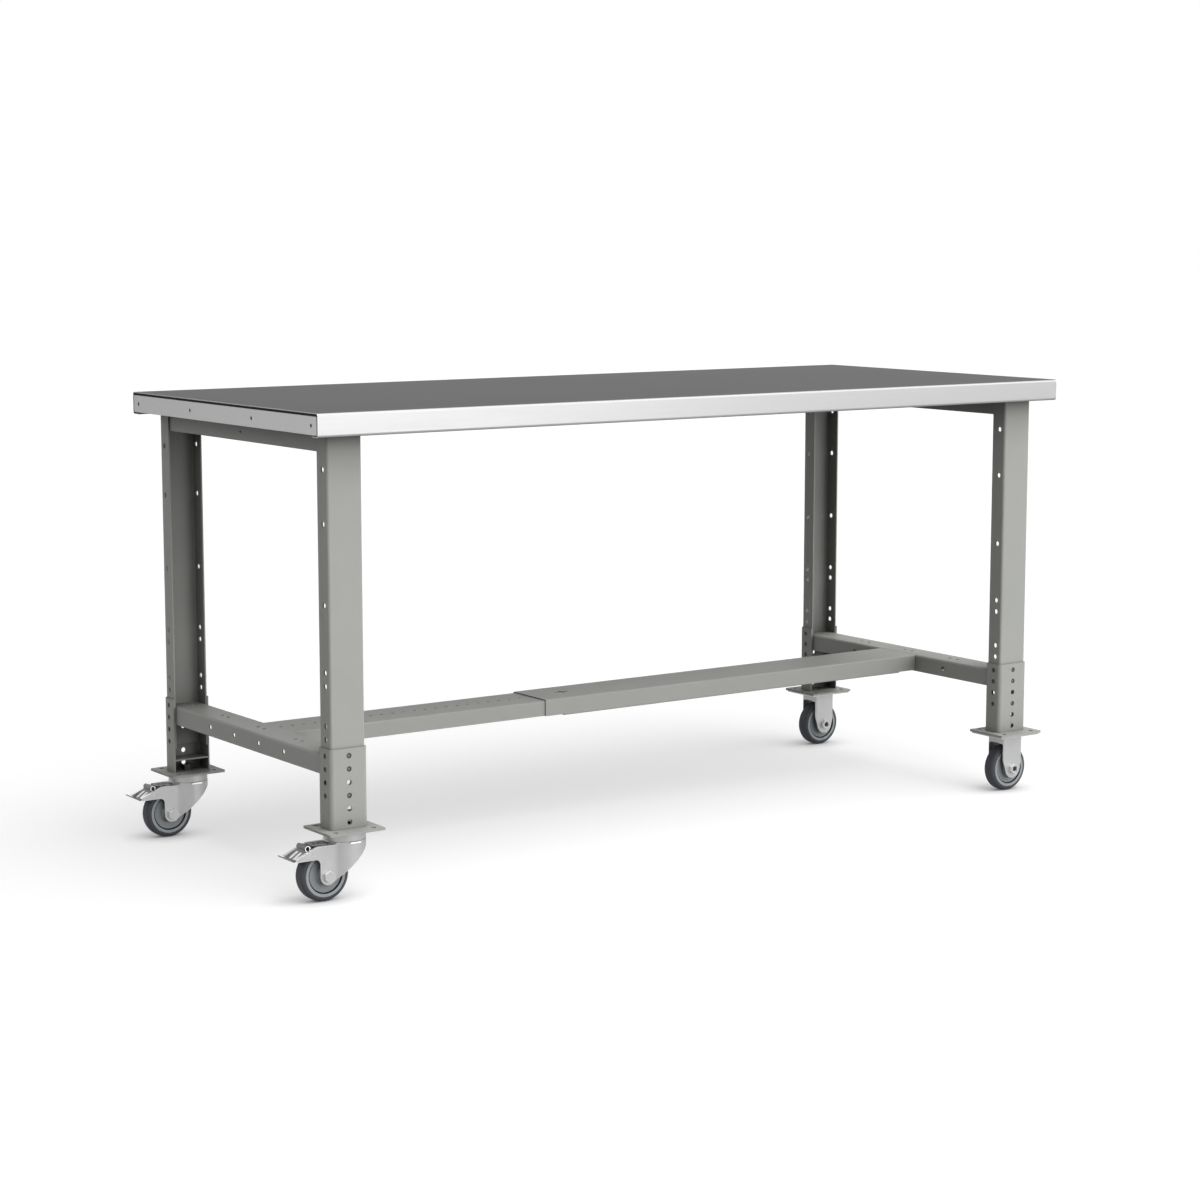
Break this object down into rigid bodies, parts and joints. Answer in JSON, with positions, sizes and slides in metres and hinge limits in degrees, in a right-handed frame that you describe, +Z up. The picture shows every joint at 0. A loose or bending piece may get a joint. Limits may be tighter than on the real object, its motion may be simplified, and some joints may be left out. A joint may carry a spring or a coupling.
{
  "type": "mobile workbench",
  "caption": "Long workbench with a wrapped stainless top on punched channel legs with telescoping feet, a stringer, braked swivel casters at one end and fixed casters at the other.",
  "frame": {"origin": "on the floor, under the middle of the bounding box", "axes": "+X along the bench towards the fixed casters, +Y towards the back, +Z up; the pictured front faces -Y"},
  "size_m": [1.8849, 0.762, 0.9083],
  "materials": {
    "stainless": "brushed stainless sheet",
    "core_board": "dark sealed particle board",
    "grey_enamel": "satin grey powder coat",
    "zinc_plate": "bright zinc plate",
    "dark_tread": "dark grey elastic tread",
    "grey_core": "moulded grey plastic"
  },
  "bodies": {
    "frame": {"top_skin": "stainless", "top_core": "core_board", "end_cap_left": "stainless", "end_cap_right": "stainless", "upright_front_left": "grey_enamel", "upright_rear_left": "grey_enamel", "upright_front_right": "grey_enamel", "upright_rear_right": "grey_enamel", "upper_rail_left": "grey_enamel", "upper_rail_right": "grey_enamel", "lower_rail_left": "grey_enamel", "lower_rail_right": "grey_enamel", "stringer_inner": "grey_enamel", "stringer_outer": "grey_enamel"},
    "foot_front_left": {"foot_sleeve_front_left": "grey_enamel", "foot_gusset_front_left": "grey_enamel", "base_plate_front_left": "grey_enamel", "race_cap_front_left": "zinc_plate", "kingpin_front_left": "zinc_plate"},
    "swivel_front_left": {"swivel_fork_front_left": "zinc_plate", "brake_leaf_front_left": "zinc_plate", "brake_pin_front_left": "zinc_plate", "axle_front_left": "zinc_plate", "axle_sleeve_front_left": "zinc_plate"},
    "brake_front_left": {"brake_pedal_front_left": "zinc_plate"},
    "wheel_front_left": {"wheel_core_front_left": "grey_core", "tyre_front_left": "dark_tread"},
    "foot_rear_left": {"foot_sleeve_rear_left": "grey_enamel", "foot_gusset_rear_left": "grey_enamel", "base_plate_rear_left": "grey_enamel", "race_cap_rear_left": "zinc_plate", "kingpin_rear_left": "zinc_plate"},
    "swivel_rear_left": {"swivel_fork_rear_left": "zinc_plate", "brake_leaf_rear_left": "zinc_plate", "brake_pin_rear_left": "zinc_plate", "axle_rear_left": "zinc_plate", "axle_sleeve_rear_left": "zinc_plate"},
    "brake_rear_left": {"brake_pedal_rear_left": "zinc_plate"},
    "wheel_rear_left": {"wheel_core_rear_left": "grey_core", "tyre_rear_left": "dark_tread"},
    "foot_front_right": {"foot_sleeve_front_right": "grey_enamel", "foot_gusset_front_right": "grey_enamel", "base_plate_front_right": "grey_enamel", "rigid_plate_front_right": "zinc_plate", "rigid_fork_front_right": "zinc_plate", "axle_front_right": "zinc_plate", "axle_sleeve_front_right": "zinc_plate"},
    "wheel_front_right": {"wheel_core_front_right": "grey_core", "tyre_front_right": "dark_tread"},
    "foot_rear_right": {"foot_sleeve_rear_right": "grey_enamel", "foot_gusset_rear_right": "grey_enamel", "base_plate_rear_right": "grey_enamel", "rigid_plate_rear_right": "zinc_plate", "rigid_fork_rear_right": "zinc_plate", "axle_rear_right": "zinc_plate", "axle_sleeve_rear_right": "zinc_plate"},
    "wheel_rear_right": {"wheel_core_rear_right": "grey_core", "tyre_rear_right": "dark_tread"}
  },
  "joints": [
    {"name": "foot_front_left_slide", "type": "slide", "parent": "frame", "child": "foot_front_left", "axis": [0, 0, 1], "range_m": [-0.05, 0]},
    {"name": "swivel_front_left_turn", "type": "hinge", "parent": "foot_front_left", "child": "swivel_front_left", "pos_m": [-0.81093, -0.324, 0.0508], "axis": [0, 0, 1], "continuous": true},
    {"name": "brake_front_left_press", "type": "hinge", "parent": "swivel_front_left", "child": "brake_front_left", "pos_m": [-0.89692, -0.324, 0.0943], "axis": [0, -1, 0], "range_deg": [0, 14]},
    {"name": "wheel_front_left_spin", "type": "hinge", "parent": "swivel_front_left", "child": "wheel_front_left", "pos_m": [-0.85993, -0.324, 0.0508], "axis": [0, 1, 0], "continuous": true},
    {"name": "foot_rear_left_slide", "type": "slide", "parent": "frame", "child": "foot_rear_left", "axis": [0, 0, 1], "range_m": [-0.05, 0]},
    {"name": "swivel_rear_left_turn", "type": "hinge", "parent": "foot_rear_left", "child": "swivel_rear_left", "pos_m": [-0.81093, 0.324, 0.0508], "axis": [0, 0, 1], "continuous": true},
    {"name": "brake_rear_left_press", "type": "hinge", "parent": "swivel_rear_left", "child": "brake_rear_left", "pos_m": [-0.89692, 0.324, 0.0943], "axis": [0, -1, 0], "range_deg": [0, 14]},
    {"name": "wheel_rear_left_spin", "type": "hinge", "parent": "swivel_rear_left", "child": "wheel_rear_left", "pos_m": [-0.85993, 0.324, 0.0508], "axis": [0, 1, 0], "continuous": true},
    {"name": "foot_front_right_slide", "type": "slide", "parent": "frame", "child": "foot_front_right", "axis": [0, 0, 1], "range_m": [-0.05, 0]},
    {"name": "wheel_front_right_spin", "type": "hinge", "parent": "foot_front_right", "child": "wheel_front_right", "pos_m": [0.86598, -0.324, 0.0508], "axis": [0, 1, 0], "continuous": true},
    {"name": "foot_rear_right_slide", "type": "slide", "parent": "frame", "child": "foot_rear_right", "axis": [0, 0, 1], "range_m": [-0.05, 0]},
    {"name": "wheel_rear_right_spin", "type": "hinge", "parent": "foot_rear_right", "child": "wheel_rear_right", "pos_m": [0.86598, 0.324, 0.0508], "axis": [0, 1, 0], "continuous": true}
  ]
}
